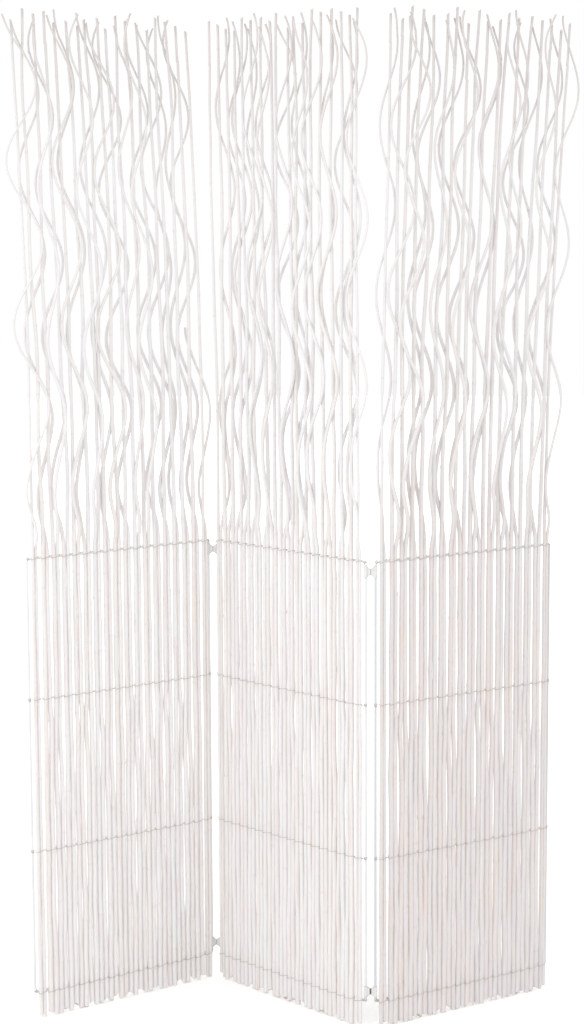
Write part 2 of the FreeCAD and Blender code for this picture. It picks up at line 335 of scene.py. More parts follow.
def knotBend(knots, height):
    below = [knot for knot in knots if knot["height"] <= height]
    if not below or len(below) == len(knots):
        return 0.0, 0.0
    before, after = below[-1], knots[len(below)]
    share = (height - before["height"]) / (after["height"] - before["height"])
    return tuple(before["bend"][axis] * (1 - share) + after["bend"][axis] * share for axis in (0, 1))


def drawTwig(twig, draw):
    # What is left to chance in one twig
    look = twigLook
    wavy = 1 if twig["layer"] else 0
    drawn = {"knots": growKnots(twig, draw), "wander": draw.uniform(*look["wanderStarts"])}
    drawn["footCut"], drawn["tipCut"] = draw.uniform(*look["cutSlopes"]), draw.uniform(*look["cutSlopes"])
    drawn["footTurn"], drawn["tipTurn"] = draw.uniform(0, fullTurn), draw.uniform(0, fullTurn)
    drawn["tone"] = (draw.random(), draw.random())
    drawn["strays"] = [(look["stray"][wavy] * draw.uniform(*look["strayShares"]), draw.uniform(0, fullTurn))
                       for length in look["strayLengths"]]
    drawn["hook"] = look["tipHook"] * draw.uniform(*look["hookShares"]) * wavy
    if isOutermost(twig["pair"]):
        # The outermost tips turn inwards
        drawn["strays"] = [(reach * look["edgeStray"], turn) for reach, turn in drawn["strays"]]
        drawn["hook"] = look["tipHook"] * (1 if twig["pair"] == 0 else -1)
    return drawn


def twigHeights(twig, knots):
    look = twigLook
    count = math.ceil((twig["tip"] - twig["foot"]) / look["ringStep"])
    heights = {twig["foot"] + (twig["tip"] - twig["foot"]) * step / count for step in range(count + 1)}
    ordered = sorted(heights | {knot["height"] + step for knot in knots for step in look["knotRings"]})
    kept = [ordered[0]]
    for height in ordered[1:-1]:
        if height - kept[-1] > look["leastRing"] and ordered[-1] - height > look["leastRing"]:
            kept.append(height)
    return kept + [ordered[-1]]


def twigSpot(twig, plot, drawn, height):
    # The middle of the real twig, with its wander, knots and strays
    look = twigLook
    along, depth = twigPlace(twig, height)
    fade = rowFade(height)
    bendAlong, bendDepth = knotBend(drawn["knots"], height)
    along += bendAlong * fade
    depth += bendDepth * fade * look["kinkDepth"]
    along += readPlot(plot["drift"], height)
    above = height - topRow
    if above > 0:
        free = rise(above, look["strayRise"])
        for (reach, turn), length in zip(drawn["strays"], look["strayLengths"]):
            along += reach * free * math.sin(fullTurn * above / length + turn)
        if twig["layer"]:
            even = twig["centre"] + twig["side"] * barkRadius(twig, height)
            early = math.sin(math.pi * min(above / look["slowReach"], 1)) ** 2
            along -= (along - even) * look["slowWave"] * early
            along += drawn["hook"] * rise(height - twig["tip"], look["hookRise"])
    return Vector((along, depth, height))


# Where the wash and the bark change along a twig: starts and lengths in metres
barkChange = {
    "raised": (-0.12, 0.35),  # to the free tops' shade, from the top row
    "tint": (1.46, 0.34), "tintShare": 0.5,  # darker towards the tips
    "end": (-0.02, 0.02), "endShare": 0.45,  # and darkest at their very ends
    "creviceReach": 0.0029,  # painted light: the wash is painted paler where two twigs are nearer than this, where shade falls between them
    "creviceEnd": 0.03,  # above the top row
    "crevicePower": 1.2,
    "grainStretch": 10, "twigShift": 3.7, "panelShift": 200,  # each twig has its own stretch of grain
}


def barkState(panel, twig, plot, height):
    # The shade, streaks and tip tint at a height, and the painted light in the crevices on the twig's two
    # sides
    change = barkChange
    raised = rise(height - topRow, change["raised"])
    # The shade darkens the wash; on the right panel it is painted shade
    shade, streaks = blend(panel["shades"], raised), blend(panel["streaks"], raised)
    tint = change["tintShare"] * rise(height, change["tint"])
    tint += change["endShare"] * rise(height - twig["tip"], change["end"])
    parted = eased(1 - (height - topRow) / change["creviceEnd"])
    # Painted light in the crevices: strongest where the gap to a neighbour is smallest
    crevices = [math.exp(-max(readPlot(plot[key], height), 0) / change["creviceReach"]) * parted
                for key in ("leftGap", "rightGap")]
    return shade, streaks, tint, crevices


def addPoint(mesh, spot, **values):
    mesh["spots"].append(spot)
    for key, value in values.items():
        mesh[key].append(value)


def joinRings(mesh, low, high, sides, turn=0):
    for corner in range(sides):
        after = (corner + 1) % sides
        mesh["faces"].append((low + corner, low + after,
                              high + (after + turn) % sides, high + (corner + turn) % sides))


def joinTube(mesh, first, rings, sides):
    # Joins a row of rings; gives the place of the last one
    for ring in range(rings - 1):
        joinRings(mesh, first + ring * sides, first + (ring + 1) * sides, sides)
    return first + (rings - 1) * sides


def capTube(mesh, first, last, sides):
    mesh["faces"].append(tuple(first + corner for corner in reversed(range(sides))))
    mesh["faces"].append(tuple(last + corner for corner in range(sides)))


def growTwig(panel, twig, plot, draw, mesh):
    look, change = twigLook, barkChange
    sides, foot, tip = look["sides"], twig["foot"], twig["tip"]
    drawn = drawTwig(twig, draw)
    heights = twigHeights(twig, drawn["knots"])
    first = len(mesh["spots"])
    for index, height in enumerate(heights):
        centre = twigSpot(twig, plot, drawn, height)
        ahead = twigSpot(twig, plot, drawn, min(height + look["tangentStep"], tip))
        tangent = (ahead - twigSpot(twig, plot, drawn, max(height - look["tangentStep"], foot))).normalized()
        side = (Vector((1, 0, 0)) - tangent * tangent.x).normalized()
        rear = tangent.cross(side)
        shade, streaks, tint, crevices = barkState(panel, twig, plot, height)
        near = min(drawn["knots"], key=lambda knot: abs(knot["height"] - height))
        reach = math.exp(-((near["height"] - height) / look["knotReach"]) ** 2) * near["size"]
        uneven = math.prod(math.sin(rate * height + share * drawn["wander"])
                           for rate, share in look["wanderWaves"])
        radius = barkRadius(twig, height) * (1 + look["radiusWander"] * uneven)
        radius *= 1 + look["knotSwell"] * reach
        for corner in range(sides):
            angle = fullTurn * corner / sides
            outward = math.cos(angle)
            bulge = 0
            if reach > look["faintBud"]:
                bulge = look["budHeight"] * reach * max(math.cos(angle - near["bud"]), 0) ** 3
            point = centre + (side * outward + rear * math.sin(angle)) * (radius + bulge)
            footLevel = foot + drawn["footCut"] * radius * (1 + math.cos(angle - drawn["footTurn"]))
            tipLevel = tip - drawn["tipCut"] * radius * (1 + math.cos(angle - drawn["tipTurn"]))
            if index == 0:
                point.z = footLevel
            elif index == len(heights) - 1:
                point.z = tipLevel
            elif height < foot + look["cutReach"]:
                point.z = max(point.z, footLevel + look["cutGap"])
            elif height > tip - look["cutReach"]:
                point.z = min(point.z, tipLevel - look["cutGap"])
            grain = height * change["grainStretch"] + change["twigShift"] * twig["number"]
            # Each point carries the painted light of the crevice on its side
            addPoint(mesh, toWorld(panel, point), tipTint=tint, streaked=streaks,
                     barkPlace=(outward, math.sin(angle), grain + change["panelShift"] * panel["seed"]),
                     barkTone=(*drawn["tone"], reach, shade),
                     crevice=crevices[1 if outward > 0 else 0] * abs(outward) ** change["crevicePower"])
    capTube(mesh, first, joinTube(mesh, first, len(heights), sides), sides)
    mesh["cuts"] += [False] * (len(heights) - 1) * sides + [True, True]


# What the finishes read from the points of a mesh
pointData = {
    "barkPlace": ("FLOAT_VECTOR", "vector"),
    "barkTone": ("FLOAT_COLOR", "color"),  # two tones, the nearness of a knot, the shade
    "crevice": ("FLOAT", "value"), "tipTint": ("FLOAT", "value"), "streaked": ("FLOAT", "value"),
}


def newMeshLists(*extra):
    return {key: [] for key in ("spots", "faces", *extra)}


def makeObject(name, mesh, materials, sharpAngle=50):
    data = bpy.data.meshes.new(name)
    data.from_pydata(mesh["spots"], [], mesh["faces"])
    data.update()
    for attribute, (kind, key) in pointData.items():
        values = mesh.get(attribute)
        if values:
            if kind != "FLOAT":
                values = [part for value in values for part in value]
            data.attributes.new(attribute, kind, "POINT").data.foreach_set(key, values)
    for material in materials:
        data.materials.append(material)
    if mesh.get("cuts"):
        data.polygons.foreach_set("material_index", [1 if cut else 0 for cut in mesh["cuts"]])
    data.polygons.foreach_set("use_smooth", [True] * len(data.polygons))
    data.set_sharp_from_angle(angle=math.radians(sharpAngle))
    made = bpy.data.objects.new(name, data)
    bpy.context.scene.collection.objects.link(made)
    return made


# Finishes
def newFinish(name):
    material = bpy.data.materials.new(name)
    material.use_nodes = True
    nodes, links = material.node_tree.nodes, material.node_tree.links
    return {"material": material, "nodes": nodes, "links": links, "shader": nodes["Principled BSDF"]}


def feed(finish, socket, value):
    # Gives a socket a number, a colour or another node's output
    if isinstance(value, (int, float)):
        socket.default_value = value
    elif isinstance(value, tuple):
        socket.default_value = (*value, 1.0)
    else:
        finish["links"].new(value, socket)


def addNode(finish, kind, *inOrder, **named):
    # Feeds the node's sockets in order or by name, with an underscore for a space
    node = finish["nodes"].new("ShaderNode" + kind)
    for socket, value in zip(node.inputs, inOrder):
        feed(finish, socket, value)
    for name, value in named.items():
        feed(finish, node.inputs[name.replace("_", " ")], value)
    return node


def addNoise(finish, place, scale, detail, roughness, distortion=0.0):
    # Noise in a stretched space: scale is one number or one per axis
    mapping = addNode(finish, "Mapping", Vector=place)
    mapping.inputs["Scale"].default_value = scale if isinstance(scale, tuple) else (scale, scale, scale)
    noise = addNode(finish, "TexNoise", Vector=mapping.outputs["Vector"], Scale=1.0,
                    Detail=detail, Roughness=roughness, Distortion=distortion)
    return noise.outputs["Fac"]


def addRange(finish, value, low, high, toLow=0.0, toHigh=1.0):
    ranged = addNode(finish, "MapRange", value, low, high, toLow, toHigh)
    ranged.interpolation_type = "SMOOTHSTEP"
    return ranged.outputs["Result"]


def addMath(finish, operation, first, second):
    made = addNode(finish, "Math", first, second)
    made.operation = operation
    return made.outputs["Value"]


def addMix(finish, share, first, second):
    mix = addNode(finish, "Mix")
    mix.data_type = "RGBA"
    sockets = {socket.identifier: socket for socket in mix.inputs}
    for key, value in (("Factor_Float", share), ("A_Color", first), ("B_Color", second)):
        feed(finish, sockets[key], value)
    return {socket.identifier: socket for socket in mix.outputs}["Result_Color"]


def addAttribute(finish, name, output):
    node = addNode(finish, "Attribute")
    node.attribute_name = name
    return node.outputs[output]


def addTone(finish, part):
    tones = addNode(finish, "SeparateColor", Color=addAttribute(finish, "barkTone", "Color"))
    return tones.outputs[part]


def closeFinish(finish, colour, roughness, relief, strength, distance):
    shader, links = finish["shader"], finish["links"]
    links.new(colour, shader.inputs["Base Color"])
    links.new(roughness, shader.inputs["Roughness"])
    bump = addNode(finish, "Bump", Strength=strength, Distance=distance, Height=relief)
    links.new(bump.outputs["Normal"], shader.inputs["Normal"])
    return finish["material"]


barkColours = {
    "wash": (0.855, 0.846, 0.850), "pinkWash": (0.855, 0.826, 0.828), "tanWash": (0.855, 0.832, 0.812),
    "pink": (0.83, 0.70, 0.69), "tan": (0.84, 0.73, 0.60), "grey": (0.77, 0.757, 0.765),
    "bare": (0.82, 0.67, 0.57), "bareRed": (0.80, 0.635, 0.615),
    # painted light: the crevice colour is paler than the wash, for the shade between close twigs
    "crevice": (0.915, 0.893, 0.886), "dull": (0.735, 0.708, 0.707),
    "tip": (0.54, 0.49, 0.473), "knot": (0.52, 0.43, 0.37),
    "cut": (0.80, 0.71, 0.59), "cutCore": (0.66, 0.55, 0.44),
}
# Scale round and along the twig, detail, roughness and distortion of the bark's patterns
barkGrain = {
    "longStreak": ((1.1, 1.1, 0.42), 5.0, 0.6, 0.3),
    "fineStreak": ((3.4, 3.4, 0.9), 6.0, 0.65),
    "grain": ((7.0, 7.0, 3.0), 4.0, 0.6),
    "patches": ((0.6, 0.6, 1.7), 3.0, 0.5),
    "bareStreak": ((2.0, 2.0, 1.0), 3.0, 0.5, 0.2),
}
# From where to where a pattern or tone brings in the colour or share of its name, and how much of it
barkRanges = {
    "pinkWash": (0.30, 0.75), "tanWash": (0.60, 0.95),
    "pink": (0.25, 0.8), "tan": (0.45, 0.7),
    "streak": (0.20, 0.42), "streakTone": (0.0, 1.0, 0.35, 0.95),
    "bareHue": (0.42, 0.58), "bare": (0.575, 0.655, 0.0, 0.8),
    # painted light in the crevices, over the long streaks
    "crevice": (0.30, 0.62, 1.0, 0.6),
    "speck": (0.60, 0.74, 0.0, 0.3),
    "knot": (0.15, 0.9, 0.0, 0.18),
    "tip": (0.3, 0.65, 0.55, 1.0),
    "roughness": (0.3, 0.7, 0.68, 0.88),
}
barkSurface = {"mostBare": 0.95, "specular": 0.35, "grainRelief": 0.5, "bump": 0.55, "bumpHeight": 0.0004}


def makeWillowFinish():
    # White wash rubbed over bark, thin enough to show the bark in long streaks, with painted light in the
    # crevices and painted shade on the right panel
    finish = newFinish("whitewashedWillow")
    place = addAttribute(finish, "barkPlace", "Vector")
    tone, warmth = addTone(finish, "Red"), addTone(finish, "Green")
    streaked = addAttribute(finish, "streaked", "Fac")
    patterns = {name: addNoise(finish, place, *values) for name, values in barkGrain.items()}
    longStreak, fineStreak, patches = (patterns[name] for name in ("longStreak", "fineStreak", "patches"))

    def ranged(name, value):
        return addRange(finish, value, *barkRanges[name])

    def times(first, second):
        return addMath(finish, "MULTIPLY", first, second)

    def blended(share, first, second):
        first, second = (barkColours[value] if isinstance(value, str) else value for value in (first, second))
        return addMix(finish, share, first, second)

    wash = blended(ranged("pinkWash", warmth), "wash", "pinkWash")
    wash = blended(ranged("tanWash", tone), wash, "tanWash")
    # Painted shade: darkened by the points' shade, most on the right panel
    wash = blended(addAttribute(finish, "barkTone", "Alpha"), wash, "dull")
    barkHue = blended(ranged("pink", warmth), "grey", "pink")
    barkHue = blended(ranged("tan", patches), barkHue, "tan")
    shown = times(ranged("streak", times(longStreak, fineStreak)), ranged("streakTone", tone))
    colour = blended(addRange(finish, times(shown, streaked), 0.0, 1.0), wash, barkHue)
    bareHue = blended(ranged("bareHue", patches), "bareRed", "bare")
    bareShare = times(ranged("bare", patterns["bareStreak"]), streaked)
    colour = blended(addMath(finish, "MINIMUM", bareShare, barkSurface["mostBare"]), colour, bareHue)
    # Painted light: paler colour in the crevices between close twigs, where shade falls
    crevice = times(addAttribute(finish, "crevice", "Fac"), ranged("crevice", longStreak))
    colour = blended(crevice, colour, "crevice")
    colour = blended(ranged("speck", patterns["grain"]), colour, "grey")
    colour = blended(times(ranged("knot", addTone(finish, "Blue")), fineStreak), colour, "knot")
    tinted = times(addAttribute(finish, "tipTint", "Fac"), ranged("tip", longStreak))
    colour = blended(tinted, colour, "tip")
    finish["shader"].inputs["Specular IOR Level"].default_value = barkSurface["specular"]
    relief = addMath(finish, "ADD", fineStreak, times(patterns["grain"], barkSurface["grainRelief"]))
    return closeFinish(finish, colour, ranged("roughness", fineStreak), relief,
                       barkSurface["bump"], barkSurface["bumpHeight"])


# The other finishes: a pattern's scale, detail and roughness, a coat's colour, range and what lays it,
# the roughness's pattern and range, and the relief's pattern, strength and height
coatedLooks = {
    "cutWillow": {  # bare wood of the cut ends, blotched with the wash
        "patterns": {"fibre": (900.0, 4.0, 0.6), "blotch": (240.0, 2.0, 0.5)},
        "under": barkColours["cut"],
        "coats": (
            (barkColours["cutCore"], (0.35, 0.7), "fibre"),
            (barkColours["wash"], (0.4, 0.65), "blotch"),
        ),
        "roughness": ("fibre", 0.3, 0.7, 0.75, 0.92), "relief": ("fibre", 0.5, 0.0003),
    },
    "paintedRod": {  # pale grey paint on steel rod, slightly uneven, dusty and rubbed, with painted shade on the right panel's rod and painted light on the top rail
        "patterns": {
            "drift": ((45.0, 45.0, 14.0), 4.0, 0.6), "rub": ((420.0, 420.0, 120.0), 5.0, 0.65),
            "peel": (1400.0, 2.0, 0.5),
        },
        "under": (0.82, 0.828, 0.835),
        "coats": (
            ((0.77, 0.78, 0.788), (0.35, 0.7), "drift"),
            ((0.62, 0.61, 0.60), (0.62, 0.72, 0.0, 0.4), "rub"),
            # painted shade: the right panel's rod is darkened by its panel's shade
            ((0.65, 0.672, 0.685), None, "shade"),
            ((0.94, 0.94, 0.935), (topRow - 0.008, topRow - 0.002), "level"),  # painted light: the top rail is painted paler, against the twigs' shade on it
        ),
        "roughness": ("drift", 0.3, 0.7, 0.38, 0.55), "relief": ("peel", 0.25, 0.0002),
    },
    "annealedWire": {  # dull wire with spots of rust
        "patterns": {"blotch": (130.0, 4.0, 0.6), "scale": (1500.0, 3.0, 0.6)},
        "under": (0.60, 0.57, 0.55),
        "coats": (
            ((0.53, 0.45, 0.40), (0.4, 0.65), "blotch"),
            ((0.72, 0.70, 0.68), (0.55, 0.75, 0.0, 0.6), "scale"),
        ),
        "roughness": ("scale", 0.3, 0.7, 0.42, 0.62), "relief": ("scale", 0.3, 0.0001),
    },
    "clipSteel": {  # pale grey strip steel, rolled, with a few scratches, bare edges and painted shade in a wide gap
        "patterns": {"blotch": (160.0, 4.0, 0.6), "scratch": ((220.0, 220.0, 1800.0), 4.0, 0.7)},
        "under": (0.79, 0.795, 0.78),
        "coats": (
            ((0.73, 0.735, 0.725), (0.35, 0.7), "blotch"),
            ((0.66, 0.65, 0.64), (0.62, 0.72, 0.0, 0.4), "scratch"),
            ((0.58, 0.57, 0.56), (0.3, 0.6, 0.5, 1.0), "blotch", "worn"),  # bare edges
            # painted shade, near black, on the back layer seen through a wide gap
            ((0.09, 0.085, 0.08), None, "paintedGapShade"),
        ),
        "roughness": ("blotch", 0.3, 0.7, 0.34, 0.52), "relief": ("scratch", 0.25, 0.0001),
    },
}


def objectPlace(finish):
    return addNode(finish, "TexCoord").outputs["Object"]


def makeCoatedFinish(name):
    look = coatedLooks[name]
    finish = newFinish(name)
    place = objectPlace(finish)
    patterns = {key: addNoise(finish, place, *values) for key, values in look["patterns"].items()}

    def layer(key):
        if key == "level":
            return addNode(finish, "SeparateXYZ", Vector=place).outputs["Z"]
        if key == "shade":
            return addAttribute(finish, "barkTone", "Alpha")
        return patterns[key] if key in patterns else addTone(finish, {"paintedGapShade": "Green", "worn": "Blue"}[key])

    colour = look["under"]
    for coat, limits, first, *others in look["coats"]:
        share = addRange(finish, layer(first), *limits) if limits else layer(first)
        for other in others:
            share = addMath(finish, "MULTIPLY", share, layer(other))
        colour = addMix(finish, share, colour, coat)
    pattern, *limits = look["roughness"]
    relief, strength, depth = look["relief"]
    return closeFinish(finish, colour, addRange(finish, patterns[pattern], *limits), patterns[relief],
                       strength, depth)


def sweepTube(mesh, spots, radii, sides, closed=False, up=Vector((0, 0, 1)), **values):
    # A round tube through points given in the screen's own frame
    first = len(mesh["spots"])
    count = len(spots)
    for index, (spot, radius) in enumerate(zip(spots, radii)):
        before = spots[index - 1] if index or closed else spot
        after = spots[(index + 1) % count] if index + 1 < count or closed else spot
        tangent = (after - before).normalized()
        if index == 0:
            side = tangent.cross(up)
            if side.length <= 0.1:  # the run starts along its own up
                side = tangent.cross(Vector((1, 0.3, 0)))
        side = (side - tangent * side.dot(tangent)).normalized()
        rear = tangent.cross(side)
        for corner in range(sides):
            angle = fullTurn * corner / sides
            addPoint(mesh, spot + (side * math.cos(angle) + rear * math.sin(angle)) * radius, **values)
    last = joinTube(mesh, first, count, sides)
    if closed:
        # The last ring is joined to the first with the least twist
        end = mesh["spots"][last]
        shift = min(range(sides), key=lambda corner: (mesh["spots"][first + corner] - end).length)
        joinRings(mesh, last, first, sides, shift)
    else:
        capTube(mesh, first, last, sides)


def smoothed(points, steps):
    # A smooth run through all the points
    out = []
    for index in range(len(points) - 1):
        a = points[max(index - 1, 0)]
        b, c = points[index], points[index + 1]
        d = points[min(index + 2, len(points) - 1)]
        for step in range(steps):
            t = step / steps
            square = (2 * a - 5 * b + 4 * c - d) * t ** 2
            out.append(0.5 * ((2 * b) + (c - a) * t + square + (3 * b - a - 3 * c + d) * t ** 3))
    out.append(points[-1])
    return out


# Tying wire, two strands to a row
wireLook = {
    "radius": 0.0005, "sides": 7, "steps": 3,
    "stand": 0.00066,  # from the twigs or rods to the wire's axis
    "slant": 0.0013, "railSlant": 0.0021,  # a strand climbs this far each side of a row
    "crossing": 0.00060,  # half the distance between the strands where they cross
    "arc": ((15, 0.9), (55, 0.75), (90, 0.5)),  # degrees round a twig and share of the climb
    "railArc": ((-0.42, 55), (-0.28, 25), (0.0, 0), (0.28, -25), (0.42, -55)),  # share of a pair, degrees
    "endTurns": 1.1,  # round the upright rod or the frame's bent corner
    "endPitch": 0.0016, "endSteps": 16,
    "endLift": 0.45,  # turns of pitch before the end's first turn
}


def strandSpots(stems, level, hasRail, hand):
    # One strand, round the fronts of a pair and then the backs of the next
    look = wireLook
    reach = screen["rodRadius"] + look["stand"]
    slant = look["railSlant"] if hasRail else look["slant"]
    spots = []
    for pair in range(screen["pairs"]):
        climb = 1 if (pair % 2 == 0) == (hand > 0) else -1  # 1 where it passes in front
        middle = stems[2 * pair]["centre"]
        places = [twigPlace(stem, level) + (barkRadius(stem, level) + look["stand"],)
                  for stem in stems[2 * pair:2 * pair + 2]]
        if climb > 0 or not hasRail:
            for (along, depth, stand), outward in zip(places, (-1, 1)):
                for angle, lift in look["arc"] if outward < 0 else reversed(look["arc"]):
                    turn = math.radians(angle)
                    spots.append(Vector((along + outward * math.cos(turn) * stand,
                                         depth - climb * math.sin(turn) * stand,
                                         level + outward * climb * lift * slant)))
        else:
            for share, angle in look["railArc"]:
                turn = math.radians(angle)
                spots.append(Vector((middle + share * pairPitch, reach * math.cos(turn),
                                     level + reach * math.sin(turn))))
        if pair < lastPair:
            # Past its partner in the gap, over or under the rail where there is one
            depth = 0.0 if hasRail else places[1][1]
            lift = reach if hasRail else look["crossing"]
            spots.append(Vector((middle + pairPitch / 2, depth, level + climb * lift)))
    return spots


def wireTail(level, hasRail, hand, atEnd):
    # The ends are wound on the frame's bent corner, or on the upright rod
    look = wireLook
    along = screen["rodSpacing"] if atEnd else 0.0
    inward = -1 if atEnd else 1
    reach = screen["rodRadius"] + look["stand"]
    pair = lastPair if atEnd else 0
    facing = -1 if (pair % 2 == 0) == (hand > 0) else 1  # it comes to the rod in front or behind
    if hasRail:
        upward = 1 if level < topRow / 2 else -1
        inset = screen["cornerRadius"] * (1 - math.sqrt(0.5))
        centre = Vector((along + inward * inset, 0, level + upward * inset))
        run = Vector((inward, 0, -upward)).normalized()
        inner = Vector((inward, 0, upward)).normalized()
    else:
        centre = Vector((along, 0, level))
        run = Vector((0, 0, 1))
        inner = Vector((inward, 0, 0))
    tail = []
    for step in range(look["endSteps"]):
        share = step / (look["endSteps"] - 1)
        turn = fullTurn * look["endTurns"] * share
        lift = facing * look["endPitch"] * (look["endLift"] + look["endTurns"] * share)
        around = Vector((0, facing, 0)) * math.cos(turn) - inner * math.sin(turn)
        tail.append(centre + run * lift + around * reach)
    return tail


def makeTieRows(name, panel, stems, material):
    for number, level in enumerate(screen["rowHeights"], start=1):
        hasRail = number in (1, 4)
        mesh = newMeshLists()
        for hand in (1, -1):
            spots = list(reversed(wireTail(level, hasRail, hand, False)))
            spots += strandSpots(stems, level, hasRail, hand) + wireTail(level, hasRail, hand, True)
            run = smoothed([toWorld(panel, spot) for spot in spots], wireLook["steps"])
            sweepTube(mesh, run, [wireLook["radius"]] * len(run), wireLook["sides"])
        wires = makeObject(f"{name}TieWires{number}", mesh, [material])
        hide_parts(f"{name}_tie_row_{number}")
        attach(wires, f"{name}_panel")


# Rod frame behind the twigs, one bent rod welded shut
rodLook = {
    "sides": 14, "cornerSteps": 7, "straightStep": 0.05,
    "weldSpot": 0.41,  # share of the bottom rail
    "weldSwell": 0.30, "weldUneven": (0.7, 1.0),
    "weldLength": 0.005, "weldReach": 0.55,
    "weldSteps": (-1.0, -0.7, -0.45, -0.2, 0.0, 0.2, 0.45, 0.7, 1.0),
    "hairline": 0.0001, "firstSeed": 40,
}


def makeRodFrame(name, panel, material):
    look = rodLook
    bend, width = screen["cornerRadius"], screen["rodSpacing"]
    low, high = screen["rowHeights"][0], screen["rowHeights"][3]

    def onBottomRail(spot):
        return spot.z < low + look["hairline"]

    flat = []
    for along, height, start in ((bend, low + bend, 180), (width - bend, low + bend, 270),
                                 (width - bend, high - bend, 0), (bend, high - bend, 90)):
        for step in range(look["cornerSteps"] + 1):
            angle = math.radians(start + 90 * step / look["cornerSteps"])
            flat.append(Vector((along + bend * math.cos(angle), 0, height + bend * math.sin(angle))))
    path = []
    for index, spot in enumerate(flat):
        after = flat[(index + 1) % len(flat)]
        cuts = max(1, round((after - spot).length / look["straightStep"]))
        path += [spot + (after - spot) * step / cuts for step in range(cuts)]
    weld, length = width * look["weldSpot"], look["weldLength"]
    seam = [Vector((weld + length * step, 0, low)) for step in look["weldSteps"]]
    path = [spot for spot in path if not (onBottomRail(spot) and abs(spot.x - weld) < length)]
    position = next(index for index, spot in enumerate(path) if onBottomRail(spot) and spot.x > weld)
    path[position:position] = seam
    draw = random.Random(look["firstSeed"] + panel["seed"])
    radii = []
    for spot in path:
        near = math.exp(-((spot.x - weld) / (length * look["weldReach"])) ** 2) if onBottomRail(spot) else 0
        radii.append(screen["rodRadius"] * (1 + look["weldSwell"] * near * draw.uniform(*look["weldUneven"])))
    mesh = newMeshLists("barkTone")
    # The rod's points carry its panel's shade, which paints shade on the right panel's rod
    sweepTube(mesh, [toWorld(panel, spot) for spot in path], radii, look["sides"], True, panel["back"],
              barkTone=(0.5, 0.5, 0, panel["shades"][0]))
    rod = makeObject(f"{name}RodFrame", mesh, [material])
    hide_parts(f"{name}_stile_left", f"{name}_stile_right", f"{name}_rail_bottom", f"{name}_rail_top")
    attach(rod, f"{name}_panel")


# Strip clips at the folds
clipLook = {
    "height": 0.022, "waist": 0.010, "sheet": 0.0009, "bore": 0.0023,
    "layerGap": 0.00004,  # between the strip's two layers
    "gaps": {"right_fold_clip_lower": 0.0026},  # between the strip's two ends at the front
    "usualGap": 0.0006,
    "cornerCut": 0.0013, "lipCurl": 0.0005,
    "rows": 9, "frontSteps": 5, "backSteps": 10, "barrelSteps": 25,
}


def clipLine(spacing, gap):
    # The strip's middle line seen from above, from end to end round both rods
    look = clipLook
    reach = look["bore"] + look["sheet"] / 2  # to the sheet's middle
    layer = look["sheet"] / 2 + look["layerGap"] / 2
    slope = math.asin(layer / reach)
    inset = reach * math.cos(slope)
    start = spacing / 2 + gap / 2
    end = spacing - inset
    half = []
    for step in range(look["frontSteps"] + 1):
        share = step / look["frontSteps"]
        half.append((start + (end - start) * share, -layer - look["lipCurl"] * (1 - share) ** 3))
    for step in range(1, look["barrelSteps"]):
        angle = math.pi + slope + (fullTurn - 2 * slope) * step / look["barrelSteps"]
        half.append((spacing + reach * math.cos(angle), reach * math.sin(angle)))
    back = [(end - (end - inset) * step / look["backSteps"], layer) for step in range(look["backSteps"] + 1)]
    return half + back + [(spacing - along, depth) for along, depth in reversed(half)], reach


def makeClip(fold, which, material):
    look = clipLook
    node, body = f"{fold}_clip_{which}", f"{fold}_clips"
    rods = [Vector(hinges[f"{fold}_{side}_hinge"]["pos_m"]) for side in ("inner", "outer")]
    leftRod, rightRod = sorted(rods, key=lambda rod: rod.x)
    low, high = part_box(node)
    origin = Vector((leftRod.x, leftRod.y, (low.z + high.z) / 2))
    spacing = rightRod.x - leftRod.x
    gap = look["gaps"].get(node, look["usualGap"])
    line, reach = clipLine(spacing, gap)
    mesh = newMeshLists("barkTone")
    rows = look["rows"]
    count = len(line)
    for index, (along, depth) in enumerate(line):
        before = line[max(index - 1, 0)]
        after = line[min(index + 1, count - 1)]
        tangent = Vector((after[0] - before[0], after[1] - before[1], 0)).normalized()
        normal = Vector((tangent.y, -tangent.x, 0))
        fromMiddle = min(abs(along - spacing / 2) / (spacing / 2), 1)
        tall = look["waist"] / 2 + (look["height"] - look["waist"]) / 2 * fromMiddle
        tall -= look["cornerCut"] * (max(-along, along - spacing, 0) / reach) ** 2
        # Painted shade: the back layer is painted near black where it shows through a wide gap, for the
        # shadow in the gap
        inPaintedGapShade = gap > look["usualGap"] and abs(along - spacing / 2) < gap and depth > 0
        # Round the strip's edge: up its one face and down the other
        for face, order in ((-1, range(rows)), (1, reversed(range(rows)))):
            for row in order:
                share = 2 * row / (rows - 1) - 1
                spot = origin + Vector((along, depth, tall * share)) + normal * face * look["sheet"] / 2
                worn = 1.0 if abs(share) == 1 or index in (0, count - 1) else 0.0
                addPoint(mesh, spot, barkTone=(0.5, 1.0 if inPaintedGapShade and face < 0 else 0.0, worn, 0))
    capTube(mesh, 0, joinTube(mesh, 0, count, 2 * rows), 2 * rows)
    name = f"{fold.replace('_f', 'F')}Clip{which.capitalize()}"
    clip = makeObject(name, mesh, [material], sharpAngle=40)
    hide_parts(node)
    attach(clip, body)


placePanels()
willowFinish = makeWillowFinish()
cutFinish, rodFinish, wireFinish, clipFinish = (makeCoatedFinish(name) for name in coatedLooks)
print("finishes made")

